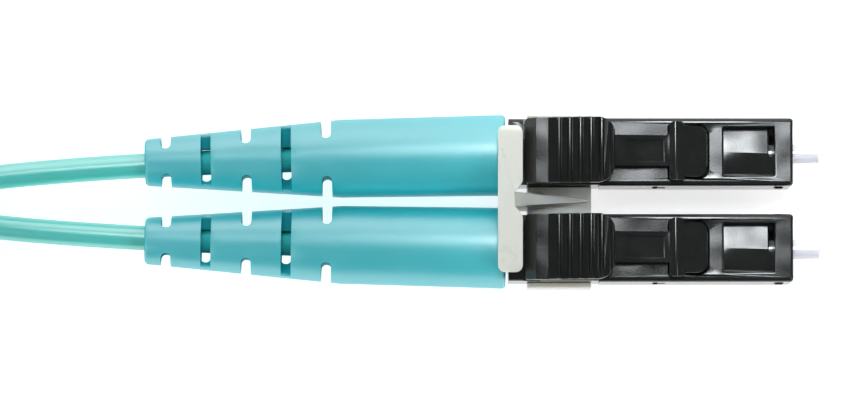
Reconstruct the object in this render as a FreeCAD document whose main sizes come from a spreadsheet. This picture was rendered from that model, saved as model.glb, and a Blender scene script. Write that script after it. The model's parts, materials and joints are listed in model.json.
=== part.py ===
import FreeCAD, Part
import math
import os
import Sketcher

# Duplex pair of small push-pull fibre connectors on a two-fibre cord, in millimetres.
# +X points out of the ferrules, +Z is the latch side, and Y runs across the pair.
# Each simplex connector is drawn about its own ferrule axis, with x = 0 on the front face
# of its housing, so lengths "behind the face" are measured towards -X.

Vector = FreeCAD.Vector
document = FreeCAD.newDocument("DuplexFibreConnector")
sheet = document.addObject("Spreadsheet::Sheet", "Sizes")


SIZES = {
    "port_pitch": 6.25,  # between the two ferrule axes
    "slide_gap": 0.05,  # clearance between mating mouldings
    # front housing
    "housing_width": 4.42,  # plug across
    "housing_height": 4.42,  # plug high
    "housing_length": 12.6,  # front face to rear end
    "housing_corner": 0.3,  # radius along the plug's long edges
    "nose_chamfer": 0.12,  # lead-in round the front face
    "nose_bore": 2.9,  # cavity round the ferrule, diameter
    "nose_depth": 2.4,  # front face to the flange seat
    "seat_bore": 2.4,  # opening in the flange seat, diameter
    "seat_thick": 0.7,  # flange seat along X
    "chamber_bore": 2.9,  # chamber of the ferrule flange, diameter
    "chamber_end": 8.0,  # front face to the rear end of the chamber
    "window_start": 1.22,  # front face to the top window
    "window_length": 3.36,  # top window along X
    "window_width": 3.25,  # top window across
    "window_ridge": 1.95,  # ridge of the window's roof-shaped floor above the axis
    "window_foot": 1.6,  # foot of that roof above the axis
    "window_slot": 0.36,  # slot in the roof's front end along X
    "slot_foot": 0.9,  # foot of that slot above the axis
    "nub_length": 0.72,  # guide nub on the plug's sides along X
    "nub_front": 0.5,  # front face to the guide nub
    "nub_height": 1.2,  # guide nub high
    "nub_proud": 0.1,  # guide nub beyond the plug's side
    # latch
    "latch_pivot": 5.95,  # front face to the latch's bending line
    "latch_rise": 2.1,  # bending line above the ferrule axis
    "latch_root": 0.35,  # radius of the latch's root
    "latch_root_width": 3.3,  # root plate across
    "latch_root_corner": 0.65,  # radius of the root's front corners in plan
    "wing_front": 7.0,  # front face to the catches' front
    "wing_rear": 8.1,  # front face to the catches' shoulder
    "wing_span": 3.8,  # across both catches
    "wing_top": 3.3,  # catches' top above the axis
    "wing_corner": 0.32,  # radius of the catches' corners in plan
    "crest": 7.65,  # front face to the crest of the latch's ramp
    "crest_top": 3.42,  # crest above the axis
    "arm_width": 2.0,  # latch arm across
    "arm_tail": 12.4,  # front face to the arm's end
    "arm_tail_top": 3.95,  # arm's end above the axis
    "arm_thick": 0.6,  # latch arm thick
    "arm_rim": 0.32,  # rim left and right of the arm's groove
    "arm_groove": 0.14,  # depth of the arm's lengthwise groove
    # trigger
    "trigger_pivot": 17.05,  # front face to the trigger's bending line
    "trigger_rise": 2.45,  # bending line above the axis
    "trigger_root": 0.4,  # radius of the trigger's root
    "trigger_width": 4.25,  # trigger across
    "trigger_front": 11.66,  # front face to the trigger's front edge
    "trigger_corner": 1.1,  # radius of its front corners in plan
    "trigger_lip": 0.45,  # thickness of its front edge
    "press_gap": 0.1,  # trigger above the latch's tail
    "pad_height": 3.78,  # flat pad in front of the root, above the axis
    "pad_front": 15.9,  # front face to the pad's front edge
    "pad_rear": 16.75,  # front face to the pad's rear edge
    "rib_pitch": 0.69,  # between the finger ribs
    "rib_width": 0.3,  # finger rib at its foot
    "rib_height": 0.2,  # finger rib high
    "ramp_low": 4.0,  # ribbed ramp's rear end above the axis
    "ramp_high": 4.8,  # ribbed ramp's front end above the axis
    # rear body
    "rear_width": 4.3,  # rear body across
    "rear_height": 4.6,  # rear body high
    "rear_end": 18.5,  # front face to the rear body's end
    "rear_bore": 2.54,  # bore for the crimp body, diameter
    "spigot_width": 3.4,  # spigot inside the housing, across and high
    "tab_length": 0.75,  # snap tab along X
    "tab_height": 0.9,  # snap tab high
    "tab_proud": 0.08,  # snap tab beyond the housing's side
    "saddle_height": 2.7,  # seat of the clip's crossbar above the axis
    "saddle_width": 3.0,  # seat of the clip's crossbar across
    # ferrule, flange, fibre and spring
    "ferrule_width": 1.25,  # ferrule diameter
    "ferrule_tip": 1.9,  # ferrule beyond the front face
    "ferrule_length": 6.4,  # ferrule along X
    "ferrule_neck": 0.9,  # ferrule diameter inside the flange
    "ferrule_chamfer": 0.15,  # tip chamfer
    "fibre_width": 0.125,  # bare fibre diameter
    "fibre_coat": 0.25,  # coated fibre diameter
    "fibre_end": 26.5,  # front face to the end of the modelled fibre
    "flange_flats": 2.4,  # hexagonal flange across flats
    "flange_thick": 1.5,  # hexagonal flange along X
    "flange_tail": 4.2,  # guide tube behind the flange
    "flange_tail_width": 1.6,  # guide tube diameter
    "spring_wire": 0.28,  # spring wire diameter
    "spring_width": 2.28,  # spring outside diameter
    "spring_turns": 6,  # turns
    # crimp body, sleeve and boot
    "crimp_front": 9.2,  # front face to the spring's seat
    "crimp_width": 2.5,  # crimp body's front tube diameter
    "crimp_collar": 3.3,  # collar diameter
    "crimp_collar_thick": 0.6,  # collar along X
    "barrel_width": 2.6,  # ribbed barrel diameter
    "barrel_end": 23.5,  # front face to the barrel's end
    "barrel_groove": 0.12,  # depth of the barrel's grooves
    "sleeve_bore": 3.2,  # crimp sleeve's inside diameter
    "sleeve_wall": 0.25,  # crimp sleeve's wall
    "sleeve_front": 1.2,  # rear datum to the sleeve's front
    "sleeve_length": 4.8,  # sleeve's wide part along X
    "sleeve_tail": 2.7,  # sleeve's narrow part along X
    "rear_datum": 18.0,  # front face to where boot and sleeve turn inwards
    "rear_shift": 0.07,  # boot towards the pair's centre line at the datum
    "toe_in": 1.18,  # boot turned towards the centre line, degrees
    "boot_front": 0.65,  # rear datum to the boot's front edge
    "boot_width": 5.3,  # boot diameter at its front
    "boot_waist": 5.1,  # boot diameter where the taper starts
    "boot_taper": 11.4,  # rear datum to the start of the taper
    "boot_end": 24.2,  # rear datum to the boot's tail
    "boot_tail": 3.06,  # boot diameter at its tail
    "boot_edge": 0.15,  # chamfer of the boot's end edges
    "boot_bore": 4.2,  # bore over the crimp sleeve, diameter
    "boot_pocket": 7.2,  # rear datum to the end of that bore
    "boot_throat": 2.05,  # bore over the cable, diameter
    "notch_start": 12.35,  # rear datum to the first side notch
    "notch_pitch": 5.24,  # between side notches, and between slots
    "notch_width": 0.66,  # slots and notches along X
    "slot_level": 0.75,  # flat beside each slot above the axis
    "slot_left": 0.78,  # slot on the left of the boot's axis
    "slot_right": 1.36,  # slot on the right of the boot's axis
    # duplex clip
    "clip_front": 13.1,  # front face to the clip's front edge
    "clip_rear": 17.25,  # front face to the rear edge of its walls
    "clip_wall": 0.325,  # outer walls thick
    "clip_floor": 0.75,  # floor thick
    "clip_side": 0.4,  # outer walls' top above the axis
    "clip_web": 0.95,  # centre web's top above the axis
    "clip_corner": 0.45,  # radius of the clip's outer corners
    "bar_front": 17.6,  # front face to the crossbar's front edge
    "bar_rear": 19.2,  # front face to the crossbar's rear edge
    "bar_width": 9.5,  # crossbar across
    "bar_thick": 0.75,  # crossbar high
    "post_overlap": 1.2,  # centre post inside the cradle along X
    "gusset_end": 13.4,  # front face to the gusset's tip
    "gusset_tip": 0.15,  # gusset's width at its tip
    "bar_waist": 0.53,  # depth of the crossbar's waist
    # cord
    "cable_width": 1.6,  # single cable diameter
    "cable_core": 0.9,  # bore at the cable's stripped end
    "cord_width": 3.2,  # both cables side by side
    "hank_run": 22.0,  # straight run of the hank
    "hank_inside": 8.8,  # inner radius of the hank's ends
    "hank_outside": 13.8,  # outer radius of the hank's ends
    "hank_low": 0.42,  # hank above the table, on its ties
    "hank_height": 9.75,  # hank high
    "hank_edge": 0.9,  # chamfer of the hank's edges
    "tie_width": 6.0,  # tie along the run
    "tie_thick": 0.35,  # tie thick
}


class Size:
    """A number together with the sheet expression that gives it."""

    def __init__(self, value, text):
        self.value = value
        self.text = text

    def __add__(self, other):
        other = as_size(other)
        return Size(self.value + other.value, f"({self.text} + {other.text})")

    def __sub__(self, other):
        other = as_size(other)
        return Size(self.value - other.value, f"({self.text} - {other.text})")

    def __mul__(self, other):
        other = as_size(other)
        return Size(self.value * other.value, f"({self.text} * {other.text})")

    def __truediv__(self, other):
        other = as_size(other)
        return Size(self.value / other.value, f"({self.text} / {other.text})")

    def __radd__(self, other):
        return as_size(other) + self

    def __rsub__(self, other):
        return as_size(other) - self

    def __rmul__(self, other):
        return as_size(other) * self

    def __neg__(self):
        return self * -1


def as_size(value):
    return value if isinstance(value, Size) else Size(float(value), repr(float(value)))


class Sizes:
    """The sheet's cells by alias."""

    def __init__(self, values):
        for number, (alias, value) in enumerate(values.items(), start=1):
            sheet.set(f"A{number}", alias.replace("_", " "))
            sheet.set(f"B{number}", str(value))
            sheet.setAlias(f"B{number}", alias)
            setattr(self, alias, Size(float(value), f"Sizes.{alias}"))


size = Sizes(SIZES)
RIB_COUNT = 6
BARREL_GROOVES = 3
SPRING_STEPS = 12
WIRE_SIDES = 6
NOTCH_COUNT = 3

# Sizes that follow from the sheet
SPIGOT_FRONT = size.chamber_end + 3 * size.slide_gap
BLOCK_FRONT = size.housing_length + size.slide_gap
SEAT = size.nose_depth + size.seat_thick
FLANGE_REAR = SEAT + size.flange_thick
AXIS_HEIGHT = size.rear_height / 2 + size.slide_gap + size.clip_floor
TAIL_REACH = size.rear_datum + size.boot_end
FRONT_X = (TAIL_REACH - size.ferrule_tip) / 2
DEEP = 20


# ---------------------------------------------------------------- sketches and features

def bind(thing, path, value):
    thing.setExpression(path, as_size(value).text)


def origin_plane(body, role):
    return next(plane for plane in body.Origin.OriginFeatures if plane.Role == role)


def new_body(name):
    body = document.addObject("PartDesign::Body", name)
    body.Label = name
    return body


def new_sketch(body, name, role, height=0):
    """A sketch on one of the body's own planes, lifted along that plane's normal."""
    sketch = body.newObject("Sketcher::SketchObject", name)
    sketch.AttachmentSupport = [(origin_plane(body, role), "")]
    sketch.MapMode = "FlatFace"
    bind(sketch, "AttachmentOffset.Base.z", height)
    return sketch


def outline(sketch, corners):
    """Straight sides through the corners, each (u, v) or (u, v, rounding radius)."""
    first = sketch.GeometryCount
    count = len(corners)
    ends = [Vector(as_size(corner[0]).value, as_size(corner[1]).value, 0) for corner in corners]
    for index in range(count):
        side = Part.LineSegment(ends[index], ends[(index + 1) % count])
        sketch.addGeometry(side, False)
    rules = []
    for index in range(count):
        following = first + (index + 1) % count
        rules.append(Sketcher.Constraint("Coincident", first + index, 2, following, 1))
    sketch.addConstraint(rules)
    for index, corner in enumerate(corners):
        for kind, value in (("DistanceX", corner[0]), ("DistanceY", corner[1])):
            value = as_size(value)
            rule = sketch.addConstraint(
                Sketcher.Constraint(kind, -1, 1, first + index, 1, value.value))
            bind(sketch, f"Constraints[{rule}]", value)
    for index, corner in enumerate(corners):
        if len(corner) == 3:
            radius = as_size(corner[2])
            sketch.fillet(first + index, 1, radius.value, True, True)
            arc = sketch.GeometryCount - 2
            rule = sketch.addConstraint(Sketcher.Constraint("Radius", arc, radius.value))
            bind(sketch, f"Constraints[{rule}]", radius)
    return sketch


def rectangle(half_width, low, high, radius=None):
    corners = ((-half_width, low), (half_width, low), (half_width, high), (-half_width, high))
    return [corner if radius is None else (*corner, radius) for corner in corners]


def box_outline(u_low, u_high, v_low, v_high):
    return [(u_low, v_low), (u_high, v_low), (u_high, v_high), (u_low, v_high)]


def feature(body, kind, name, sketch):
    made = body.newObject(f"PartDesign::{kind}", name)
    made.Profile = sketch
    sketch.Visibility = False
    return made


def pad(body, name, sketch, length, side="One side", back=False):
    made = feature(body, "Pad", name, sketch)
    made.SideType = side
    made.Reversed = back
    bind(made, "Length", length)
    return made


def pocket(body, name, sketch, depth=None, side="One side"):
    """Cuts against the sketch's normal, or through everything when no depth is given."""
    made = feature(body, "Pocket", name, sketch)
    made.SideType = side
    if depth is None:
        made.Type = "ThroughAll"
    else:
        bind(made, "Length", depth)
    return made


def spin(body, kind, name, corners):
    """A Revolution or Groove of an (x, radius) outline about the X axis."""
    sketch = outline(new_sketch(body, f"{name}Profile", "XZ_Plane"), corners)
    made = feature(body, kind, name, sketch)
    made.ReferenceAxis = (sketch, ["H_Axis"])
    made.Angle = 360
    return made


def keep_inside(body, name, role, corners):
    """Trims the body to an outline seen along one of its planes' normals."""
    sketch = new_sketch(body, f"{name}Profile", role)
    outline(sketch, box_outline(-2 * DEEP, DEEP, -DEEP, DEEP))
    outline(sketch, corners)
    return pocket(body, name, sketch, side="Symmetric")


def edges_where(made, test):
    document.recompute()
    return [f"Edge{number}" for number, edge in enumerate(made.Shape.Edges, start=1) if test(edge)]


def dress(body, kind, name, base, edges, value):
    """A Fillet or Chamfer on the given edges of the body's last feature."""
    made = body.newObject(f"PartDesign::{kind}", name)
    made.Base = (base, edges)
    bind(made, "Radius" if kind == "Fillet" else "Size", value)
    return made


def at_x(edge, x):
    box = edge.BoundBox
    return abs(box.XMin - x) < 1e-4 and abs(box.XMax - x) < 1e-4


# ---------------------------------------------------------------- placing the two connectors

class Side:
    """One of the two simplex connectors: a lies towards +Y and b towards -Y."""

    def __init__(self, letter, sign):
        self.letter = letter
        self.sign = sign

    def body(self, name):
        return new_body(f"{name}_{self.letter}")


def place(body, side=None):
    """Puts a piece on its ferrule axis, or on the pair's centre line."""
    across = size.port_pitch / 2 * side.sign if side else 0
    bind(body, "Placement.Base.x", FRONT_X)
    bind(body, "Placement.Base.y", across)
    bind(body, "Placement.Base.z", AXIS_HEIGHT)


def place_behind(body, side):
    """Puts a piece on the boot's axis, which toes in from the rear datum."""
    body.Placement = FreeCAD.Placement(Vector(), FreeCAD.Rotation(Vector(0, 0, 1), side.sign))
    bind(body, "Placement.Base.x", FRONT_X - size.rear_datum)
    bind(body, "Placement.Base.y", (size.port_pitch / 2 - size.rear_shift) * side.sign)
    bind(body, "Placement.Base.z", AXIS_HEIGHT)
    bind(body, "Placement.Rotation.Angle", size.toe_in * side.sign)


# ---------------------------------------------------------------- mouldings

def front_housing(side):
    body = side.body("front_housing")
    half = size.housing_width / 2
    top = size.housing_height / 2
    shell = outline(new_sketch(body, "Section", "YZ_Plane"),
                    rectangle(half, -top, top, size.housing_corner))
    plug = pad(body, "Plug", shell, size.housing_length, back=True)
    dress(body, "Chamfer", "NoseLeadIn", plug,
          edges_where(plug, lambda edge: at_x(edge, 0)), size.nose_chamfer)
    spin(body, "Groove", "Cavity", (
        (0, 0), (0, size.nose_bore / 2), (-size.nose_depth, size.nose_bore / 2),
        (-size.nose_depth, size.seat_bore / 2), (-SEAT, size.seat_bore / 2),
        (-SEAT, size.chamber_bore / 2), (-size.chamber_end, size.chamber_bore / 2),
        (-size.chamber_end, 0)))
    socket_half = size.spigot_width / 2 + size.slide_gap
    socket = outline(new_sketch(body, "SocketSection", "YZ_Plane", -size.chamber_end),
                     rectangle(socket_half, -socket_half, socket_half, size.housing_corner))
    pocket(body, "SpigotSocket", socket, size.housing_length - size.chamber_end)
    window_half = size.window_width / 2
    window = outline(new_sketch(body, "WindowSection", "YZ_Plane", -size.window_start), (
        (-window_half, top + 1), (-window_half, size.window_foot),
        (0, size.window_ridge), (window_half, size.window_foot),
        (window_half, top + 1)))
    pocket(body, "TopWindow", window, size.window_length)
    slot = outline(new_sketch(body, "WindowSlotPlan", "XY_Plane", top), box_outline(
        -(size.window_start + size.window_slot), -size.window_start, -0.2, window_half))
    pocket(body, "WindowSlot", slot, top - size.slot_foot)
    well_front = size.latch_pivot - size.latch_root - 2 * size.slide_gap
    well_half = size.latch_root_width / 2 + 2 * size.slide_gap
    well_depth = top - size.latch_rise + size.latch_root + size.slide_gap
    well = outline(new_sketch(body, "LatchWellPlan", "XY_Plane", top), (
        (-well_front, -well_half, size.latch_root_corner),
        (-well_front, well_half, size.latch_root_corner),
        (-size.wing_rear, well_half), (-size.wing_rear, -well_half)))
    pocket(body, "LatchWell", well, well_depth)
    tab_front = SPIGOT_FRONT + 2 * size.slide_gap
    tab_half = size.tab_height / 2 + size.slide_gap
    catch = outline(new_sketch(body, "SnapWindowSide", "XZ_Plane"), box_outline(
        -(tab_front + size.tab_length + 2 * size.slide_gap), -tab_front, -tab_half, tab_half))
    pocket(body, "SnapWindows", catch, side="Symmetric")
    nubs = new_sketch(body, "NubPlan", "XY_Plane")
    nub_end = size.nub_front + size.nub_length
    nub_out = half + size.nub_proud
    for sign in (1, -1):
        outline(nubs, ((-size.nub_front, half * 0.9 * sign), (-nub_end, half * 0.9 * sign),
                       (-nub_end, half * sign), (-(nub_end - 0.15), nub_out * sign),
                       (-(size.nub_front + 0.15), nub_out * sign), (-size.nub_front, half * sign)))
    pad(body, "GuideNubs", nubs, size.nub_height, side="Symmetric")
    place(body, side)
    return body


def latch(side):
    body = side.body("latch")
    root_half = size.latch_root_width / 2
    wing_half = size.wing_span / 2
    arm_half = size.arm_width / 2
    front = size.latch_pivot - size.latch_root
    plan = outline(new_sketch(body, "Plan", "XY_Plane"), (
        (-front, -root_half, size.latch_root_corner), (-front, root_half, size.latch_root_corner),
        (-size.wing_front, root_half), (-size.wing_front, wing_half, size.wing_corner),
        (-size.wing_rear, wing_half, size.wing_corner), (-size.wing_rear, arm_half),
        (-size.arm_tail, arm_half, 0.2), (-size.arm_tail, -arm_half, 0.2),
        (-size.wing_rear, -arm_half), (-size.wing_rear, -wing_half, size.wing_corner),
        (-size.wing_front, -wing_half, size.wing_corner), (-size.wing_front, -root_half)))
    pad(body, "Blank", plan, size.arm_tail_top + 1)
    round_end = size.latch_root * 0.95
    low = size.latch_rise - size.latch_root
    wing_under = size.wing_top - size.arm_thick - 0.05
    keep_inside(body, "SideTrim", "XZ_Plane", (
        (-front, low, round_end), (-front, size.latch_rise),
        (-size.crest, size.crest_top, 0.25), (-size.wing_rear, size.wing_top),
        (-size.arm_tail, size.arm_tail_top), (-size.arm_tail, size.arm_tail_top - size.arm_thick),
        (-size.wing_rear, wing_under), (-size.wing_front, wing_under - 0.2),
        (-(size.latch_pivot + 0.2), low)))
    slope = (size.arm_tail_top - size.wing_top) / (size.arm_tail - size.wing_rear)
    groove_front = size.wing_rear + size.arm_rim
    groove_rear = size.arm_tail - 1.4
    front_top = size.wing_top + slope * size.arm_rim
    rear_top = size.arm_tail_top - slope * 1.4
    groove = outline(new_sketch(body, "GrooveSide", "XZ_Plane"), (
        (-groove_front, front_top + 1), (-groove_front, front_top - size.arm_groove),
        (-groove_rear, rear_top - size.arm_groove), (-groove_rear, rear_top + 1)))
    pocket(body, "ArmGroove", groove, size.arm_width - 2 * size.arm_rim, side="Symmetric")
    place(body, side)
    return body


def ramp_height(behind):
    """Height of the trigger's ribbed ramp at a length behind the front face."""
    run = size.pad_front - size.trigger_front
    return size.ramp_high - (behind - size.trigger_front) / run * (size.ramp_high - size.ramp_low)


def trigger(side):
    body = side.body("trigger")
    half = size.trigger_width / 2
    rear = size.trigger_pivot + size.trigger_root
    plan = outline(new_sketch(body, "Plan", "XY_Plane"), (
        (-size.trigger_front, -half, size.trigger_corner),
        (-size.trigger_front, half, size.trigger_corner),
        (-rear, half, 0.25), (-rear, -half, 0.25)))
    pad(body, "Blank", plan, size.ramp_high + 1)
    low = size.trigger_rise - size.trigger_root
    high = size.trigger_rise + size.trigger_root
    under = size.arm_tail_top + size.press_gap
    profile = [(-rear, low, size.trigger_root * 0.95), (-rear, high + 0.1, 0.3),
               (-size.pad_rear, size.pad_height), (-(size.pad_front + 0.05), size.pad_height)]
    for index in reversed(range(RIB_COUNT)):
        middle = size.trigger_front + size.rib_width / 2 + size.rib_pitch * index
        foot = ramp_height(middle)
        profile += [(-(middle + size.rib_width / 2), foot),
                    (-(middle + size.rib_width / 4), foot + size.rib_height),
                    (-(middle - size.rib_width / 4), foot + size.rib_height),
                    (-(middle - size.rib_width / 2), foot)]
    profile += [(-size.trigger_front, size.ramp_high - size.trigger_lip),
                (-(size.trigger_front + 0.25), under), (-(size.arm_tail + 0.6), under),
                (-(size.pad_front + 0.1), size.pad_height - 0.6),
                (-(size.trigger_pivot - size.trigger_root - 0.15), size.trigger_rise + 0.1),
                (-(size.trigger_pivot - size.trigger_root), low, 0.3)]
    keep_inside(body, "SideTrim", "XZ_Plane", profile)
    place(body, side)
    return body


def rear_body(side):
    body = side.body("rear_body")
    half = size.rear_width / 2
    top = size.rear_height / 2
    section = outline(new_sketch(body, "Section", "YZ_Plane", -BLOCK_FRONT),
                      rectangle(half, -top, top, size.housing_corner))
    pad(body, "Block", section, size.rear_end - BLOCK_FRONT, back=True)
    spigot_half = size.spigot_width / 2
    spigot = outline(new_sketch(body, "SpigotSection", "YZ_Plane", -SPIGOT_FRONT),
                     rectangle(spigot_half, -spigot_half, spigot_half, size.housing_corner))
    pad(body, "Spigot", spigot, BLOCK_FRONT - SPIGOT_FRONT, back=True)
    tab_front = SPIGOT_FRONT + 3 * size.slide_gap
    tab_rear = tab_front + size.tab_length
    tab_out = size.housing_width / 2 + size.tab_proud
    tabs = new_sketch(body, "TabPlan", "XY_Plane")
    for sign in (1, -1):
        outline(tabs, ((-tab_front, spigot_half * 0.9 * sign), (-tab_rear, spigot_half * 0.9 * sign),
                       (-tab_rear, tab_out * sign), (-(tab_rear - 0.25), tab_out * sign),
                       (-tab_front, spigot_half * sign)))
    pad(body, "SnapTabs", tabs, size.tab_height, side="Symmetric")
    saddle_front = size.bar_front + size.slide_gap
    saddle = outline(new_sketch(body, "SaddleSection", "YZ_Plane", -saddle_front),
                     rectangle(size.saddle_width / 2, top - 0.3, size.saddle_height))
    pad(body, "Saddle", saddle, size.rear_end - saddle_front, back=True)
    seat_rear = size.trigger_pivot + size.trigger_root + 2 * size.slide_gap
    seat_front = size.trigger_pivot - size.trigger_root - 4 * size.slide_gap
    seat_depth = top - size.trigger_rise + size.trigger_root + size.slide_gap
    seat = outline(new_sketch(body, "TriggerSeatPlan", "XY_Plane", top),
                   box_outline(-seat_rear, -seat_front, -half, half))
    pocket(body, "TriggerSeat", seat, seat_depth)
    collar = size.crimp_collar / 2 + size.slide_gap / 2
    collar_front = size.rear_end - size.crimp_collar_thick
    spin(body, "Groove", "Bore", (
        (-SPIGOT_FRONT, 0), (-SPIGOT_FRONT, size.rear_bore / 2),
        (-collar_front, size.rear_bore / 2), (-collar_front, collar),
        (-size.rear_end, collar), (-size.rear_end, 0)))
    place(body, side)
    return body


def duplex_clip():
    body = new_body("duplex_clip")
    inner = size.port_pitch / 2 + size.rear_width / 2 + size.slide_gap
    outer = inner + size.clip_wall
    web = size.port_pitch / 2 - size.rear_width / 2 - size.slide_gap
    floor = -(size.rear_height / 2 + size.slide_gap)
    under = floor - size.clip_floor
    section = outline(new_sketch(body, "Section", "YZ_Plane", -size.clip_front), (
        (-outer, under, size.clip_corner), (outer, under, size.clip_corner),
        (outer, size.clip_side, 0.1), (inner, size.clip_side), (inner, floor), (web, floor),
        (web, size.clip_web, 0.15), (-web, size.clip_web, 0.15), (-web, floor),
        (-inner, floor), (-inner, size.clip_side), (-outer, size.clip_side, 0.1)))
    pad(body, "Cradle", section, size.clip_rear - size.clip_front, back=True)
    bar_under = size.saddle_height + size.slide_gap
    waist_rear = size.bar_front + size.bar_waist
    post_front = size.clip_rear - size.post_overlap
    post = outline(new_sketch(body, "PostSide", "XZ_Plane"), (
        (-size.rear_end, under), (-size.rear_end, bar_under + size.bar_thick / 2),
        (-waist_rear, bar_under + size.bar_thick / 2), (-post_front, size.clip_web),
        (-post_front, under)))
    pad(body, "Post", post, web, side="Symmetric")
    root = outline(new_sketch(body, "GussetRoot", "YZ_Plane", -waist_rear),
                   box_outline(-web / 2, web / 2, size.clip_web - 0.4, bar_under))
    tip = outline(new_sketch(body, "GussetTip", "YZ_Plane", -size.gusset_end),
                  box_outline(-size.gusset_tip / 2, size.gusset_tip / 2,
                              size.clip_web - 0.4, size.clip_web + 0.2))
    gusset = body.newObject("PartDesign::AdditiveLoft", "Gusset")
    gusset.Profile = root
    gusset.Sections = [tip]
    bar_half = size.bar_width / 2
    bar = outline(new_sketch(body, "BarPlan", "XY_Plane", bar_under), (
        (-size.bar_rear, -bar_half, size.clip_corner), (-size.bar_front, -bar_half, size.clip_corner),
        (-size.bar_front, -1.1, 0.4), (-waist_rear, -0.45, 0.3), (-waist_rear, 0.45, 0.3),
        (-size.bar_front, 1.1, 0.4), (-size.bar_front, bar_half, size.clip_corner),
        (-size.bar_rear, bar_half, size.clip_corner)))
    pad(body, "Crossbar", bar, size.bar_thick)
    place(body)
    return body


# ---------------------------------------------------------------- ferrule, spring and crimp

def ferrule(side):
    body = side.body("ferrule")
    tip = size.ferrule_tip
    radius = size.ferrule_width / 2
    bore = size.fibre_width / 2 + 0.002
    rear = size.ferrule_length - tip
    spin(body, "Revolution", "Turned", (
        (tip, bore), (tip, radius - size.ferrule_chamfer), (tip - size.ferrule_chamfer, radius),
        (-SEAT, radius), (-SEAT, size.ferrule_neck / 2), (-rear, size.ferrule_neck / 2),
        (-rear, size.fibre_coat), (-(rear - 0.6), bore)))
    place(body, side)
    return body


def ferrule_flange(side):
    body = side.body("ferrule_flange")
    flat = size.flange_flats / 2
    corner = 1 / math.cos(math.radians(30))
    slant = math.tan(math.radians(30))
    hexagon = outline(new_sketch(body, "HexSection", "YZ_Plane", -SEAT), (
        (flat, -flat * slant), (flat, flat * slant), (0, flat * corner),
        (-flat, flat * slant), (-flat, -flat * slant), (0, -flat * corner)))
    pad(body, "Hexagon", hexagon, size.flange_thick, back=True)
    tail = FLANGE_REAR + size.flange_tail
    bore = size.fibre_coat / 2 + size.slide_gap
    spin(body, "Revolution", "GuideTube", (
        (-(FLANGE_REAR - 0.5), bore), (-(FLANGE_REAR - 0.5), size.flange_tail_width / 2),
        (-tail, size.flange_tail_width / 2), (-tail, bore)))
    neck = size.ferrule_neck / 2 + size.slide_gap / 5
    neck_end = size.ferrule_length - size.ferrule_tip
    spin(body, "Groove", "Bore", (
        (-SEAT, 0), (-SEAT, neck), (-neck_end, neck), (-neck_end, bore), (-tail, bore), (-tail, 0)))
    place(body, side)
    return body


def fibre(side):
    body = side.body("fibre")
    bare = size.fibre_width / 2
    coat = size.fibre_coat / 2
    strip = size.ferrule_length - size.ferrule_tip
    spin(body, "Revolution", "Drawn", (
        (size.ferrule_tip, 0), (size.ferrule_tip, bare), (-strip, bare), (-strip, coat),
        (-size.fibre_end, coat), (-size.fibre_end, 0)))
    place(body, side)
    return body


def spring(side):
    """A coil between the flange and the crimp body, lofted through short straight runs."""
    wire = size.spring_wire.value / 2
    clear = size.slide_gap / 2
    start = FLANGE_REAR + size.spring_wire / 2 + clear
    height = (size.crimp_front - size.spring_wire / 2 - clear - start).value
    radius = size.spring_width.value / 2 - wire
    steps = int(size.spring_turns.value * SPRING_STEPS)
    sections = []
    for step in range(steps + 1):
        turn = 2 * math.pi * step / SPRING_STEPS
        outward = Vector(math.cos(turn), math.sin(turn), 0)
        centre = outward * radius + Vector(0, 0, height * step / steps)
        ring = []
        for corner in range(WIRE_SIDES):
            angle = 2 * math.pi * corner / WIRE_SIDES
            ring.append(centre + (outward * math.cos(angle) + Vector(0, 0, math.sin(angle))) * wire)
        sections.append(Part.makePolygon(ring + ring[:1]))
    made = document.addObject("Part::Feature", f"spring_{side.letter}")
    made.Shape = Part.makeLoft(sections, True, True)
    made.Label = f"spring_{side.letter}"
    made.Placement = FreeCAD.Placement(Vector(), FreeCAD.Rotation(Vector(0, 1, 0), -90))
    place(made, side)
    bind(made, "Placement.Base.x", FRONT_X - start)
    return made


def crimp_body(side):
    body = side.body("crimp_body")
    collar_front = size.rear_end - size.crimp_collar_thick
    barrel = size.barrel_width / 2
    mouth = size.flange_tail_width / 2 + 3 * size.slide_gap
    mouth_end = FLANGE_REAR + size.flange_tail + 1.2
    passage = size.fibre_coat / 2 + 0.375
    profile = [(-size.crimp_front, mouth), (-size.crimp_front, size.crimp_width / 2),
               (-collar_front, size.crimp_width / 2), (-collar_front, size.crimp_collar / 2),
               (-size.rear_end, size.crimp_collar / 2), (-size.rear_end, barrel)]
    step = (size.barrel_end - size.rear_end) / BARREL_GROOVES
    for index in range(BARREL_GROOVES):
        groove = size.rear_end + step * (index + 0.5)
        profile += [(-(groove - step / 4), barrel), (-groove, barrel - size.barrel_groove),
                    (-(groove + step / 4), barrel)]
    profile += [(-size.barrel_end, barrel), (-size.barrel_end, passage),
                (-mouth_end, passage), (-mouth_end, mouth)]
    spin(body, "Revolution", "Turned", profile)
    place(body, side)
    return body


def crimp_sleeve(side):
    body = side.body("crimp_sleeve")
    inner = size.sleeve_bore / 2
    grip = size.cable_width / 2 + size.slide_gap / 2
    wide_end = size.sleeve_front + size.sleeve_length
    neck = wide_end + 0.9
    end = neck + size.sleeve_tail
    wall = size.sleeve_wall
    spin(body, "Revolution", "Drawn", (
        (-size.sleeve_front, inner), (-size.sleeve_front, inner + wall), (-wide_end, inner + wall),
        (-neck, grip + wall), (-end, grip + wall), (-end, grip), (-neck, grip), (-wide_end, inner)))
    place_behind(body, side)
    return body


def boot_radius(behind):
    """Outside radius of the boot's taper at a length behind the rear datum."""
    drop = (size.boot_waist - size.boot_tail) / 2
    run = size.boot_end - size.boot_taper
    return size.boot_waist / 2 - (behind - size.boot_taper) / run * drop


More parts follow.
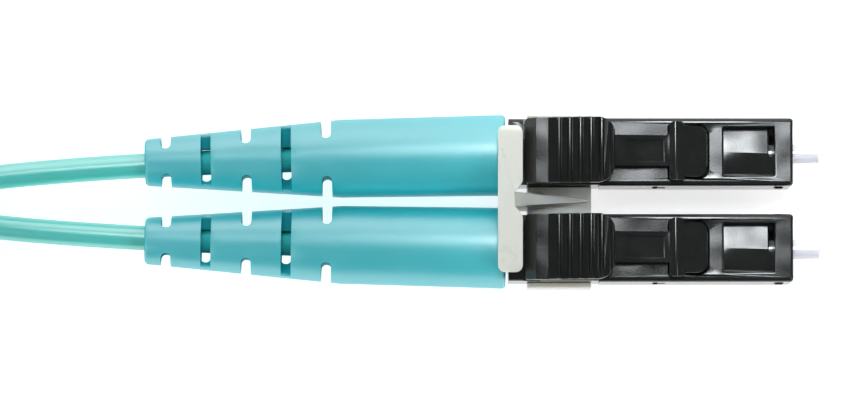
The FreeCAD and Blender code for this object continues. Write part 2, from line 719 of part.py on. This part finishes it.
def boot(side):
    body = side.body("boot")
    throat = size.boot_throat / 2
    sleeve_grip = size.cable_width / 2 + size.slide_gap / 2 + size.sleeve_wall + 2 * size.slide_gap
    pocket_end = size.boot_pocket
    sleeve_end = size.sleeve_front + size.sleeve_length + 0.9 + size.sleeve_tail + 4 * size.slide_gap
    spin(body, "Revolution", "Moulding", (
        (-size.boot_front, size.boot_bore / 2), (-size.boot_front, size.boot_width / 2 - size.boot_edge),
        (-(size.boot_front + size.boot_edge), size.boot_width / 2),
        (-size.boot_taper, size.boot_waist / 2), (-(size.boot_end - size.boot_edge), size.boot_tail / 2),
        (-size.boot_end, size.boot_tail / 2 - size.boot_edge),
        (-size.boot_end, throat), (-(sleeve_end + 0.4), throat), (-sleeve_end, sleeve_grip),
        (-(pocket_end + 0.6), sleeve_grip), (-pocket_end, size.boot_bore / 2)))
    half_slot = size.notch_width / 2
    for index in range(NOTCH_COUNT):
        middle = size.notch_start + size.notch_pitch * index
        reach = boot_radius(middle)
        notch = new_sketch(body, f"NotchPlan{index + 1}", "XY_Plane")
        for sign in (1, -1):
            outline(notch, (
                (-(middle - half_slot), reach * 0.5 * sign, half_slot * 0.95),
                (-(middle + half_slot), reach * 0.5 * sign, half_slot * 0.95),
                (-(middle + half_slot), size.boot_width * sign),
                (-(middle - half_slot), size.boot_width * sign)))
        pocket(body, f"SideNotch{index + 1}", notch, side="Symmetric")
    for index in range(NOTCH_COUNT - 1):
        middle = size.notch_start + size.notch_pitch * (index + 0.5)
        slot = new_sketch(body, f"SlotPlan{index + 1}", "XY_Plane")
        outline(slot, (
            (-(middle - half_slot), -size.slot_right, half_slot * 0.95),
            (-(middle + half_slot), -size.slot_right, half_slot * 0.95),
            (-(middle + half_slot), size.slot_left),
            (-(middle - half_slot), size.slot_left)))
        pocket(body, f"ThroughSlot{index + 1}", slot, side="Symmetric")
        cuts = new_sketch(body, f"SlotSide{index + 1}", "XZ_Plane")
        for sign in (1, -1):
            outline(cuts, (
                (-(middle - half_slot), size.slot_level * sign),
                (-(middle + half_slot), size.slot_level * sign),
                (-(middle + half_slot), size.boot_width * sign),
                (-(middle - half_slot), size.boot_width * sign)))
        pocket(body, f"SlotCuts{index + 1}", cuts, side="Symmetric")
    place_behind(body, side)
    return body


# ---------------------------------------------------------------- cord

LEG_A = ((-4.65, 2.915, 3.1), (-17.65, 2.67, 3.1), (-31.0, 1.8, 2.9), (-38.0, 0.72, 2.62),
         (-43.0, 0.0, 2.43))
LEG_B = ((-4.65, -2.915, 3.1), (-17.65, -2.67, 3.1), (-31.0, -1.8, 2.5), (-38.0, -0.72, 1.2),
         (-43.0, 0.0, 0.8))
CORD = ((-43.0, 0.0, 1.61), (-47.0, 0.06, 1.74), (-51.0, 0.0, 2.04))
HANK_CENTRE = Vector(-62.0, -13.0, 0)


def route_wire(name, points):
    """Straight runs joined by tangent arcs as large as the shorter run allows."""
    corners = [Vector(*point) for point in points]
    edges = []
    start = corners[0]
    for before, corner, after in zip(corners, corners[1:], corners[2:]):
        arriving = (corner - before).normalize()
        leaving = (after - corner).normalize()
        turn = arriving.getAngle(leaving)
        reach = 0.45 * min((corner - before).Length, (after - corner).Length)
        radius = reach / math.tan(turn / 2)
        first = corner - arriving * reach
        last = corner + leaving * reach
        towards = (leaving - arriving).normalize()
        middle = corner + towards * (math.hypot(radius, reach) - radius)
        edges.append(Part.LineSegment(start, first).toShape())
        edges.append(Part.Arc(first, middle, last).toShape())
        print(f"{name}: turn {math.degrees(turn):.1f} degrees, radius {radius:.1f} mm")
        start = last
    edges.append(Part.LineSegment(start, corners[-1]).toShape())
    return Part.Wire(edges)


def tube(name, points, diameter):
    path = route_wire(name, points)
    heading = Vector(*points[1]) - Vector(*points[0])
    circle = Part.Circle(Vector(*points[0]), heading, diameter / 2).toShape()
    solid = path.makePipeShell([Part.Wire([circle])], True, False)
    expected = math.pi * diameter ** 2 / 4 * path.Length
    print(f"{name}: {path.Length:.2f} mm long, volume {solid.Volume / expected:.4f} of its section")
    return solid


def cable_leg(side, points):
    """One jacketed cable, stripped inside the crimp sleeve to let its fibre in."""
    name = f"cable_leg_{side.letter}"
    start = Vector(*points[0])
    heading = Vector(*points[1]) - start
    jacket = tube(name, points, size.cable_width.value)
    strip = size.fibre_end.value + 2 - (FRONT_X.value - start.x)
    core = Part.makeCylinder(size.cable_core.value / 2, strip, start, heading)
    made = document.addObject("Part::Feature", name)
    made.Shape = jacket.cut(core)
    made.Label = name
    return made


def cord_hank():
    """Outer shape of the wound cord, lying in line with the pair."""
    body = new_body("cord_hank")
    plan = new_sketch(body, "Plan", "XY_Plane", size.hank_low)
    for reach in (size.hank_outside, size.hank_inside):
        end = size.hank_run / 2 + reach
        curve = reach - size.slide_gap
        outline(plan, ((-end, -reach, curve), (end, -reach, curve), (end, reach, curve),
                       (-end, reach, curve)))
    ring = pad(body, "Winding", plan, size.hank_height)
    flat = edges_where(ring, lambda edge: edge.BoundBox.ZLength < 1e-4)
    dress(body, "Chamfer", "WindingEdges", ring, flat, size.hank_edge)
    body.Placement.Base = HANK_CENTRE
    return body


def cord_tie(side):
    """A strap round one run of the hank."""
    body = side.body("cord_tie")
    inner = size.hank_inside - size.slide_gap / 2
    outer = size.hank_outside + size.slide_gap / 2
    low = size.hank_low - size.slide_gap / 2
    high = size.hank_low + size.hank_height + size.slide_gap / 2
    section = new_sketch(body, "Section", "YZ_Plane")
    for grow in (size.tie_thick, size.tie_thick * 0):
        curve = size.hank_edge * 0.6 + grow
        near, far = (inner - grow) * side.sign, (outer + grow) * side.sign
        outline(section, ((near, low - grow, curve), (far, low - grow, curve),
                          (far, high + grow, curve), (near, high + grow, curve)))
    pad(body, "Strap", section, size.tie_width, side="Symmetric")
    body.Placement.Base = HANK_CENTRE
    return body


def zip_cord(hank):
    """The two cables side by side, from where the legs part to the hank."""
    cord = tube("zip_cord", CORD, size.cord_width.value)
    made = document.addObject("Part::Feature", "zip_cord")
    made.Shape = cord.cut(hank.Shape)
    made.Label = "zip_cord"
    return made


# ---------------------------------------------------------------- assembly

def connector(side, leg):
    return [front_housing(side), latch(side), trigger(side), rear_body(side), ferrule(side),
            ferrule_flange(side), fibre(side), spring(side), crimp_body(side), crimp_sleeve(side),
            boot(side), cable_leg(side, leg)]


pieces = connector(Side("a", 1), LEG_A) + connector(Side("b", -1), LEG_B)
hank = cord_hank()
pieces += [duplex_clip(), hank, cord_tie(Side("a", 1)), cord_tie(Side("b", -1))]
document.recompute()
pieces.append(zip_cord(hank))
document.recompute()

for thing in document.Objects:
    if "Invalid" in thing.State or "Error" in thing.State:
        raise RuntimeError(f"{thing.Name} failed: {thing.State}")
    if thing.TypeId in ("PartDesign::Pocket", "PartDesign::Groove"):
        if thing.BaseFeature.Shape.Volume - thing.Shape.Volume < 1e-6:
            raise RuntimeError(f"{thing.Name} cuts nothing")
for piece in pieces:
    if piece.Shape.isNull() or not piece.Shape.isValid() or len(piece.Shape.Solids) != 1:
        raise RuntimeError(f"{piece.Label} is not one sound solid")

os.makedirs("parts", exist_ok=True)
for piece in pieces:
    piece.Shape.exportStep(f"parts/{piece.Label}.step")
    box = piece.Shape.BoundBox
    print(f"{piece.Label}: {piece.Shape.Volume:.2f} mm3, "
          f"x {box.XMin:.2f} to {box.XMax:.2f}, y {box.YMin:.2f} to {box.YMax:.2f}, "
          f"z {box.ZMin:.2f} to {box.ZMax:.2f}")
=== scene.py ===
import json
import math

import bmesh
import bpy
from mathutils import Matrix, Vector

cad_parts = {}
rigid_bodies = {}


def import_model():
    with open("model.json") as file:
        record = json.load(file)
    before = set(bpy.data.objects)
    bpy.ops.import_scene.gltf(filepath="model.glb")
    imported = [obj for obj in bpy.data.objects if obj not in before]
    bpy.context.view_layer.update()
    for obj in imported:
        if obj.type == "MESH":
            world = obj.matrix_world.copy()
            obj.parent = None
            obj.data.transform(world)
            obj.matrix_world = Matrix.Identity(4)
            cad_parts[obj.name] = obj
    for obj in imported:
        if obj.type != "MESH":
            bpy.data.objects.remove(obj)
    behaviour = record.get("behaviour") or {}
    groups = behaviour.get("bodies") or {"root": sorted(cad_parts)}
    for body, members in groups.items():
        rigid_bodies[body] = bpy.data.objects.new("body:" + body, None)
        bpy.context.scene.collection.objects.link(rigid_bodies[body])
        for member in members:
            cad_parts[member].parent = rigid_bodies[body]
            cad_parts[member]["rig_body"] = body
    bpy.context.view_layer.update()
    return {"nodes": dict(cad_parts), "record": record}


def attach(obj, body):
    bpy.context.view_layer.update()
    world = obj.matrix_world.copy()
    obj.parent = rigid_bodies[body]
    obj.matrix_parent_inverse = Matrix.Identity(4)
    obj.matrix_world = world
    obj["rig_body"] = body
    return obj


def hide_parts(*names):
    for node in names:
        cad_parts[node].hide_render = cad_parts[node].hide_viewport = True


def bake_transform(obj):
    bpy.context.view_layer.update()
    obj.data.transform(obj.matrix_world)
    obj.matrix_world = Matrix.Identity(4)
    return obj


# Looks of a duplex fibre connector on its two-fibre cord. Lengths are in metres.

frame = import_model()
nodes = frame["nodes"]
scene = bpy.context.scene
scene.view_settings.view_transform = "Standard"

MM = 0.001
SIDES = ("a", "b")
AXIS_Z = 3.1 * MM  # height of the ferrules and the boots


def mm(*values):
    return Vector(values) * MM


# ---------------------------------------------------------------- camera

VIEW_ELEVATION = math.radians(86.5)
FRAME_WIDTH = 55.8 * MM
LENS = 250.0
SENSOR = 36.0
AIM = Vector((-3.65 * MM, -0.21 * MM, AXIS_Z))


def add_camera():
    """A long lens over the connector, almost straight above it."""
    data = bpy.data.cameras.new("studio_camera")
    data.lens = LENS
    data.sensor_width = SENSOR
    distance = FRAME_WIDTH * LENS / SENSOR
    data.clip_start, data.clip_end = distance / 50, distance * 20
    back = Vector((0, -math.cos(VIEW_ELEVATION), math.sin(VIEW_ELEVATION)))
    camera = bpy.data.objects.new("studio_camera", data)
    scene.collection.objects.link(camera)
    camera.location = AIM + back * distance
    camera.rotation_mode = "QUATERNION"
    camera.rotation_quaternion = (-back).to_track_quat("-Z", "Y")
    scene.camera = camera


add_camera()

# ---------------------------------------------------------------- cords

CABLE = 1.6 * MM
CORD_HEIGHT = 3.2 * MM

# Control points of each line, in millimetres.
LEG_A = ((-4.65, 2.915, 3.1), (-17.65, 2.67, 3.1), (-31.0, 1.8, 2.9), (-38.0, 0.72, 2.62),
         (-43.0, 0.0, 2.43))
LEG_B = ((-4.65, -2.915, 3.1), (-17.65, -2.67, 3.1), (-31.0, -1.8, 2.5), (-38.0, -0.72, 1.2),
         (-43.0, 0.0, 0.8))
CORD = ((-43.0, 0.0, 1.61), (-47.0, 0.06, 1.74), (-51.0, 0.0, 2.04))

# The hank, in millimetres: three layers of turns that lie beside each other.
HANK_CENTRE = Vector((-62.0, -13.0))
HANK_RUN = 22.0             # straight run of a turn
RINGS = (13.0, 11.3, 9.6)   # radii of a turn's ends, outermost first
LAYERS = (2.04, 5.27, 8.5)  # heights of the cord's middle
TURNS = 7.9
TURN_STEPS = 32

# Turns at which the winding goes one ring in, one ring out, or up a layer.
FIRST_INWARD, OUTWARD, LAST_INWARD = (0.8, 1.8), (3.4, 4.4), (6.0, 7.0)
UPWARD = (2.6, 5.2)
RING_CHANGE = 0.2  # part of a turn that a change takes
LAYER_CHANGE = 0.25

LEG_RESOLUTION = 12
CORD_RESOLUTION = 4
ROUNDNESS = 10

# Each lobe of the cord's section is an arc that leaves room for the web.
LOBE_ARC = 300
LOBE_STEPS = 16
UPPER_LOBE_START, LOWER_LOBE_START = -60, 120


def ease(t):
    t = min(max(t, 0.0), 1.0)
    return t * t * (3 - 2 * t)


def changes(turns, starts, length):
    """How many of the changes that begin at the given turns are behind."""
    return sum(ease((turns - start) / length) for start in starts)


def value_at(values, place):
    """The value at a place in a list, between two of its values where it falls so."""
    low = min(int(place), len(values) - 2)
    return values[low] + (values[low + 1] - values[low]) * (place - low)


def on_turn(part, reach):
    """A point of one turn, from the start of its far run and round to the left."""
    run, bend = HANK_RUN, math.pi * reach
    way = part * 2 * (run + bend)
    if way < run:
        return Vector((run / 2 - way, reach))
    way -= run
    if way < bend:
        angle = math.pi / 2 + way / reach
        return Vector((-run / 2 + reach * math.cos(angle), reach * math.sin(angle)))
    way -= bend
    if way < run:
        return Vector((-run / 2 + way, -reach))
    angle = -math.pi / 2 + (way - run) / reach
    return Vector((run / 2 + reach * math.cos(angle), reach * math.sin(angle)))


def hank_points():
    """The turns of the three layers: inwards, outwards, then inwards again."""
    points = []
    for index in range(1, int(TURNS * TURN_STEPS) + 1):
        turns = index / TURN_STEPS
        ring = (changes(turns, FIRST_INWARD, RING_CHANGE) - changes(turns, OUTWARD, RING_CHANGE)
                + changes(turns, LAST_INWARD, RING_CHANGE))
        layer = changes(turns, UPWARD, LAYER_CHANGE)
        place = HANK_CENTRE + on_turn(turns % 1, value_at(RINGS, ring))
        points.append((*place, value_at(LAYERS, layer)))
    return points


def add_curve(name, dimensions, kind, points):
    """A curve of one open spline; its points have four coordinates."""
    data = bpy.data.curves.new(name, "CURVE")
    data.dimensions = dimensions
    spline = data.splines.new(kind)
    spline.points.add(len(points) - 1)
    for target, point in zip(spline.points, points):
        target.co = point
    curve = bpy.data.objects.new(name, data)
    scene.collection.objects.link(curve)
    return curve


def route(name, points, resolution):
    """A smooth open line through the route, pulled by its control points."""
    line = add_curve(name, "3D", "NURBS", [(*mm(*point), 1) for point in points])
    line.data.resolution_u = resolution
    line.data.twist_mode = "Z_UP"
    line.data.use_fill_caps = True
    spline = line.data.splines[0]
    spline.order_u = 3
    spline.use_endpoint_u = True
    return line


def mesh_of(line):
    graph = bpy.context.evaluated_depsgraph_get()
    return bpy.data.meshes.new_from_object(line.evaluated_get(graph), depsgraph=graph)


def centreline(line):
    """The points of the line itself, before it has a section."""
    mesh = mesh_of(line)
    points = [tuple(vertex.co) for vertex in mesh.vertices]
    bpy.data.meshes.remove(mesh)
    return points


def jacket(line, name):
    """A mesh piece in the shape of the line's tube, in the line's place."""
    mesh = mesh_of(line)
    bpy.data.objects.remove(line)
    mesh.name = name
    for face in mesh.polygons:
        face.use_smooth = True
    piece = bpy.data.objects.new(name, mesh)
    scene.collection.objects.link(piece)
    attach(piece, "connector")
    return piece


def leg(side, points):
    """One round cable, from inside its boot to where the cord starts."""
    line = route(f"leg_line_{side}", points, LEG_RESOLUTION)
    path = centreline(line)
    line.data.bevel_depth = CABLE / 2
    line.data.bevel_resolution = ROUNDNESS
    cable = jacket(line, f"jacket_{side}")
    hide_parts(f"cable_leg_{side}")
    return cable


def figure_eight():
    """Outline of two round jackets joined by a thin web, standing on edge."""
    radius, reach = CABLE / 2, (CORD_HEIGHT - CABLE) / 2
    outline = []
    for centre, start in ((reach, UPPER_LOBE_START), (-reach, LOWER_LOBE_START)):
        for step in range(LOBE_STEPS + 1):
            angle = math.radians(start + LOBE_ARC * step / LOBE_STEPS)
            outline.append((radius * math.cos(angle), centre + radius * math.sin(angle), 0, 1))
    section = add_curve("cord_section", "2D", "POLY", outline)
    section.data.splines[0].use_cyclic_u = True
    return section


def zip_cord():
    """The two cables side by side, from where the legs join to the end of the hank."""
    line = route("zip_line", [*CORD, *hank_points()], CORD_RESOLUTION)
    path = centreline(line)
    section = figure_eight()
    line.data.bevel_mode = "OBJECT"
    line.data.bevel_object = section
    cord = jacket(line, "two_fibre_cord")
    bpy.data.objects.remove(section)
    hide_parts("zip_cord", "cord_hank")
    return cord


legs = [leg("a", LEG_A), leg("b", LEG_B)]
cord = zip_cord()

# ---------------------------------------------------------------- shaders


class Wire:
    """A shader socket that takes part in sums as a number does."""

    def __init__(self, finish, socket):
        self.finish = finish
        self.socket = socket

    def apply(self, operation, *others):
        """A Math node with this socket first."""
        return self.finish.node("ShaderNodeMath", {"operation": operation}, self, *others)

    def __add__(self, other):
        return self.apply("ADD", other)

    def __radd__(self, other):
        return self.apply("ADD", other)

    def __sub__(self, other):
        return self.apply("SUBTRACT", other)

    def __rsub__(self, other):
        return self.finish.node("ShaderNodeMath", {"operation": "SUBTRACT"}, other, self)

    def __mul__(self, other):
        return self.apply("MULTIPLY", other)

    def __rmul__(self, other):
        return self.apply("MULTIPLY", other)

    def __truediv__(self, other):
        return self.apply("DIVIDE", other)

    def __rtruediv__(self, other):
        return self.finish.node("ShaderNodeMath", {"operation": "DIVIDE"}, other, self)

    def clamp(self):
        return self.finish.node("ShaderNodeClamp", {}, self, 0.0, 1.0)


class Finish:
    """One material and its nodes."""

    def __init__(self, name):
        self.material = bpy.data.materials.new(name)
        self.material.use_nodes = True
        self.tree = self.material.node_tree
        self.shader = self.first("BSDF_PRINCIPLED")

    def first(self, kind):
        return next(node for node in self.tree.nodes if node.type == kind)

    def node(self, kind, settings, *inputs, out=None, **named):
        """Adds a node: settings first, then the values or links of its sockets."""
        made = self.tree.nodes.new(kind)
        for key, value in settings.items():
            setattr(made, key, value)
        for socket, value in zip([s for s in made.inputs if s.enabled], inputs):
            self.feed(socket, value)
        for key, value in named.items():
            self.feed(made.inputs[key.replace("_", " ")], value)
        if out:
            return Wire(self, made.outputs[out])
        return Wire(self, next(socket for socket in made.outputs if socket.enabled))

    def feed(self, socket, value):
        if isinstance(value, Wire):
            self.tree.links.new(value.socket, socket)
        elif socket.type == "RGBA":
            socket.default_value = (*value, 1)
        else:
            socket.default_value = value

    def set(self, **values):
        """Sets or links sockets of the material's main shader."""
        for key, value in values.items():
            self.feed(self.shader.inputs[key.replace("_", " ")], value)

    def blend(self, factor, **values):
        """Puts a second shader, with the given values, where the factor is 1."""
        second = self.node("ShaderNodeBsdfPrincipled", {}, **values)
        both = self.node("ShaderNodeMixShader", {}, factor, Wire(self, self.shader.outputs[0]),
                         second)
        self.tree.links.new(both.socket, self.first("OUTPUT_MATERIAL").inputs["Surface"])

    def place(self, scale=(1, 1, 1)):
        """Object coordinates, stretched along each axis."""
        where = self.node("ShaderNodeTexCoord", {}, out="Object")
        return self.node("ShaderNodeMapping", {}, where, Scale=scale)

    def axis(self, where, letter):
        return self.node("ShaderNodeSeparateXYZ", {}, where, out=letter)

    def noise(self, where, scale, detail):
        return self.node("ShaderNodeTexNoise", {}, Vector=where, Scale=scale, Detail=detail,
                         Roughness=0.5)

    def mix(self, factor, first, second):
        return self.node("ShaderNodeMix", {"data_type": "RGBA"}, factor, first, second)

    def bump(self, height, strength, distance):
        return self.node("ShaderNodeBump", {}, Strength=strength, Distance=distance, Height=height)


def between(value, low, high):
    """Maps a 0 to 1 value to the given range."""
    return value * (high - low) + low


def srgb(red, green, blue):
    """Linear colour of a display colour given in 0 to 255."""
    def linear(value):
        value /= 255
        return value / 12.92 if value <= 0.04045 else ((value + 0.055) / 1.055) ** 2.4
    return linear(red), linear(green), linear(blue)


CHANGE = 0.3 * MM  # length over which one finish turns into another

# The boots' outside, to tell it from the walls of their slots, which are painted darker as
# shade. Each LOSS is what the value beside it loses for each metre behind the front.
BOOT_FRONT = 2.15 * MM
BOOT_TAIL = -21.7 * MM
BODY_RADIUS, BODY_LOSS = 2.656 * MM, 0.0093
TAPER_RADIUS, TAPER_LOSS = 3.458 * MM, 0.0797
BOOT_ASIDE, ASIDE_LOSS = 3.055 * MM, 0.0206
SKIN = 0.08 * MM

FERRULE_BORE = 19.6 * MM  # the ferrule is in the shade of its bore behind this


def black_plastic():
    """Glossy moulded plastic with faint sink marks."""
    finish = Finish("black_plastic")
    where = finish.place()
    sink = finish.noise(where, scale=300, detail=1)
    cloud = finish.noise(where, scale=1100, detail=4)
    grain = finish.noise(where, scale=9000, detail=2)
    finish.set(Base_Color=finish.mix(cloud, (0.005, 0.006, 0.006), (0.011, 0.013, 0.012)),
               Roughness=between(cloud, 0.1, 0.22),
               Normal=finish.bump(sink * 9.0 + grain * 0.2, 1.0, 0.01 * MM), IOR=1.5)
    return finish.material


def boot_rubber():
    """Matt rubber, less shiny on the walls of its slots, which are painted darker as shade."""
    finish = Finish("boot_rubber")
    where = finish.place()
    cloud = finish.noise(where, scale=350, detail=4)
    grain = finish.noise(where, scale=12000, detail=2)
    finish.set(Base_Color=finish.mix(cloud, srgb(2, 192, 204), srgb(5, 199, 211)),
               Roughness=between(cloud, 0.38, 0.46),
               Normal=finish.bump(grain, 0.2, 0.015 * MM), IOR=2.7,
               Subsurface_Weight=0.25, Subsurface_Scale=0.6 * MM, Subsurface_Radius=(0.2, 1, 1))
    behind = BOOT_FRONT - finish.axis(where, "X")
    body = BODY_RADIUS - behind * BODY_LOSS
    radius = body.apply("MINIMUM", TAPER_RADIUS - behind * TAPER_LOSS)
    aside = finish.axis(where, "Y").apply("ABSOLUTE") - (BOOT_ASIDE - behind * ASIDE_LOSS)
    height = finish.axis(where, "Z") - AXIS_Z
    reach = (aside * aside + height * height).apply("POWER", 0.5)
    # Painted shade: inside the outer skin, the slot walls get a darker base colour than the
    # outside.
    inside = ((radius - reach - SKIN) / SKIN).clamp()
    finish.blend(inside, Base_Color=srgb(2, 170, 182), Roughness=0.6, IOR=1.3)
    return finish.material


def cable_jacket():
    """Smooth cable plastic, duller where the boot covers it; there it is painted lighter, as
    painted light.
    """
    finish = Finish("cable_jacket")
    where = finish.place()
    cloud = finish.noise(where, scale=500, detail=3)
    grain = finish.noise(where, scale=7000, detail=2)
    finish.set(Base_Color=finish.mix(cloud, srgb(56, 220, 210), srgb(68, 226, 216)),
               Roughness=between(cloud, 0.3, 0.38),
               Normal=finish.bump(grain, 0.2, 0.02 * MM), IOR=2.9)
    # Painted light: where the boot covers the cable, it gets a lighter base colour than outside.
    painted_light_under_boot = ((finish.axis(where, "X") - BOOT_TAIL) / CHANGE).clamp()
    finish.blend(painted_light_under_boot, Base_Color=srgb(70, 245, 245), Roughness=0.5, IOR=1.3)
    return finish.material


def clip_plastic():
    finish = Finish("clip_plastic")
    where = finish.place()
    cloud = finish.noise(where, scale=260, detail=3)
    grain = finish.noise(where, scale=5000, detail=2)
    finish.set(Base_Color=finish.mix(cloud, srgb(207, 209, 201), srgb(217, 218, 210)),
               Roughness=between(cloud, 0.22, 0.36),
               Normal=finish.bump(grain, 0.15, 0.01 * MM), IOR=1.5, Subsurface_Weight=0.5,
               Subsurface_Scale=0.8 * MM, Subsurface_Radius=(1.4, 1.2, 0.8))
    return finish.material


def ceramic():
    """Polished ceramic, in shade where the ferrule stands in its bore."""
    finish = Finish("ceramic")
    where = finish.place()
    cloud = finish.noise(where, scale=1500, detail=2)
    lit = finish.mix(cloud, srgb(208, 208, 217), srgb(216, 216, 224))
    sunk = ((FERRULE_BORE - finish.axis(where, "X")) / CHANGE).clamp()
    finish.set(Base_Color=finish.mix(sunk, lit, srgb(95, 96, 100)),
               Roughness=between(cloud, 0.1, 0.18), IOR=1.9, Coat_Weight=0.3,
               Coat_Roughness=0.05)
    return finish.material


def metal(name, colour, low, high):
    """Turned metal, brushed round its axis, with its lowest and highest roughness."""
    finish = Finish(name)
    brush = finish.noise(finish.place((1, 12, 12)), scale=2500, detail=3)
    bright = tuple(min(1, part * 1.12) for part in colour)
    finish.set(Base_Color=finish.mix(brush, colour, bright), Metallic=1.0,
               Roughness=between(brush, low, high), Normal=finish.bump(brush, 0.15, 0.01 * MM))
    return finish.material


def fibre_glass():
    finish = Finish("fibre_glass")
    cloud = finish.noise(finish.place(), scale=4000, detail=2)
    finish.set(Base_Color=finish.mix(cloud, (0.8, 0.85, 0.88), (0.9, 0.93, 0.95)),
               Roughness=between(cloud, 0.05, 0.12), IOR=1.46, Transmission_Weight=0.6)
    return finish.material


def tie_fabric():
    """Looped strap fabric."""
    finish = Finish("tie_fabric")
    where = finish.place()
    loops = finish.node("ShaderNodeTexVoronoi", {}, Vector=where, Scale=3800.0)
    cloud = finish.noise(where, scale=600, detail=3)
    finish.set(Base_Color=finish.mix(cloud, (0.012, 0.012, 0.014), (0.03, 0.03, 0.033)),
               Roughness=between(cloud, 0.85, 0.95), Normal=finish.bump(loops, 0.8, 0.08 * MM))
    return finish.material


MATERIALS = {
    "black_plastic": black_plastic(), "boot_rubber": boot_rubber(), "cable_jacket": cable_jacket(),
    "clip_plastic": clip_plastic(), "ceramic": ceramic(), "fibre_glass": fibre_glass(),
    "tie_fabric": tie_fabric(),
    "flange_metal": metal("flange_metal", (0.62, 0.61, 0.58), 0.22, 0.35),
    "spring_steel": metal("spring_steel", (0.58, 0.58, 0.6), 0.2, 0.3),
    "crimp_metal": metal("crimp_metal", (0.66, 0.62, 0.52), 0.25, 0.4),
    "sleeve_metal": metal("sleeve_metal", (0.7, 0.7, 0.7), 0.25, 0.4),
}
SLOTS = {part["node"]: part["material_slot"] for part in frame["record"]["subparts"]}


def finish_with(piece, slot):
    piece.data.materials.clear()
    piece.data.materials.append(MATERIALS[slot])


for name, solid in nodes.items():
    finish_with(solid, SLOTS[name])
for piece in (*legs, cord):
    finish_with(piece, "cable_jacket")

# ---------------------------------------------------------------- moulded edges

WELD = 0.0005 * MM
FLAT = math.radians(0.5)        # faces that meet at less than this are one flat
MOULD_TURN = math.radians(18)   # and up to these they are one round face
COIL_TURN = math.radians(60)
CORNER = math.radians(30)       # sharper edges than this are rounded off


def merged(node, name, turn):
    """A copy of a CAD node in one skin, smooth where it turns by less than the angle."""
    mesh = nodes[node].data.copy()
    mesh.name = name
    work = bmesh.new()
    work.from_mesh(mesh)
    bmesh.ops.remove_doubles(work, verts=work.verts, dist=WELD)
    for face in work.faces:
        face.smooth = any(FLAT < edge.calc_face_angle(0) < turn for edge in face.edges)
    work.to_mesh(mesh)
    work.free()
    piece = bpy.data.objects.new(name, mesh)
    scene.collection.objects.link(piece)
    finish_with(piece, SLOTS[node])
    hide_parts(node)
    return piece


def moulded(node, width, clamp=True):
    """A copy of a CAD node whose edges are rounded as a mould leaves them."""
    piece = merged(node, f"{node}_moulded", MOULD_TURN)
    bevel = piece.modifiers.new("moulded_edges", "BEVEL")
    bevel.width = width
    bevel.segments = 3
    bevel.limit_method = "ANGLE"
    bevel.angle_limit = CORNER
    bevel.miter_outer = "MITER_ARC"
    bevel.use_clamp_overlap = clamp
    piece.modifiers.new("even_normals", "WEIGHTED_NORMAL")
    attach(piece, nodes[node]["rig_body"])


def sprung(side):
    """A smooth-shaded copy of the coil spring, with its place baked into its mesh."""
    node = f"spring_{side}"
    coil = merged(node, f"{node}_coil", COIL_TURN)
    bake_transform(coil)


for side in SIDES:
    moulded(f"front_housing_{side}", 0.075 * MM, clamp=False)
    moulded(f"latch_{side}", 0.015 * MM, clamp=False)
    moulded(f"trigger_{side}", 0.04 * MM, clamp=False)
    moulded(f"rear_body_{side}", 0.06 * MM)
    moulded(f"boot_{side}", 0.05 * MM)
    sprung(side)
moulded("duplex_clip", 0.12 * MM)

# ---------------------------------------------------------------- studio

FLOOR_REACH = 1.5
FLOOR_DROP = 0.02 * MM  # keeps the floor clear of the clip's underside
WORLD_STRENGTH = 0.15
COOL = (0.92, 0.97, 1.0)

# Each soft panel's place, the point that it faces, its width, depth and radiance. The two
# that stand close to the connector light only a narrow cone of it.
PANELS = {
    "top_panel": dict(place=(0.015, 0.033, 0.1), aim=(0.025, 0.003, 0), width=0.03,
                      depth=0.056, radiance=1.5, colour=COOL, spread=33),
    "tail_panel": dict(place=(-0.03, 0.033, 0.1), aim=(-0.023, 0.003, 0), width=0.03,
                       depth=0.056, radiance=0.16, colour=COOL, spread=28),
    "north_panel": dict(place=(-0.01, 0.32, 0.15), aim=(-0.01, 0, 0), width=0.4,
                        depth=0.32, radiance=1.65),
    "south_west_panel": dict(place=(-0.27, -0.14, 0.16), aim=(-0.01, 0, 0), width=0.18,
                             depth=0.2, radiance=4.0),
    "south_east_panel": dict(place=(0.25, -0.14, 0.16), aim=(-0.01, 0, 0), width=0.18,
                             depth=0.2, radiance=4.0),
}


def add_floor():
    """A pale light table."""
    mesh = bpy.data.meshes.new("studio_floor")
    work = bmesh.new()
    bmesh.ops.create_grid(work, x_segments=1, y_segments=1, size=FLOOR_REACH)
    bmesh.ops.translate(work, verts=work.verts, vec=(0, 0, -FLOOR_DROP))
    work.to_mesh(mesh)
    work.free()
    floor = bpy.data.objects.new("studio_floor", mesh)
    scene.collection.objects.link(floor)
    finish = Finish("studio_light_table")
    finish.set(Base_Color=(0.6, 0.6, 0.6), Roughness=1.0, Specular_IOR_Level=0.0,
               Emission_Color=(1.0, 1.0, 1.0), Emission_Strength=0.74)
    mesh.materials.append(finish.material)


def add_panel(name, place, aim, width, depth, radiance, colour=(1, 1, 1), spread=180):
    """A soft panel that faces the aim, and that the camera doesn't see."""
    data = bpy.data.lights.new(name, "AREA")
    data.shape = "RECTANGLE"
    data.size, data.size_y = width, depth
    data.energy = radiance * math.pi * width * depth
    data.color = colour
    data.spread = math.radians(spread)
    light = bpy.data.objects.new(name, data)
    scene.collection.objects.link(light)
    light.visible_camera = False
    light.location = place
    light.rotation_mode = "QUATERNION"
    light.rotation_quaternion = (Vector(place) - Vector(aim)).to_track_quat("Z", "Y")


def add_world():
    world = bpy.data.worlds.new("studio")
    scene.world = world
    world.use_nodes = True
    backdrop = next(node for node in world.node_tree.nodes if node.type == "BACKGROUND")
    backdrop.inputs["Color"].default_value = (1.0, 1.0, 1.0, 1)
    backdrop.inputs["Strength"].default_value = WORLD_STRENGTH


add_floor()
add_world()
for name, panel in PANELS.items():
    add_panel(name, **panel)
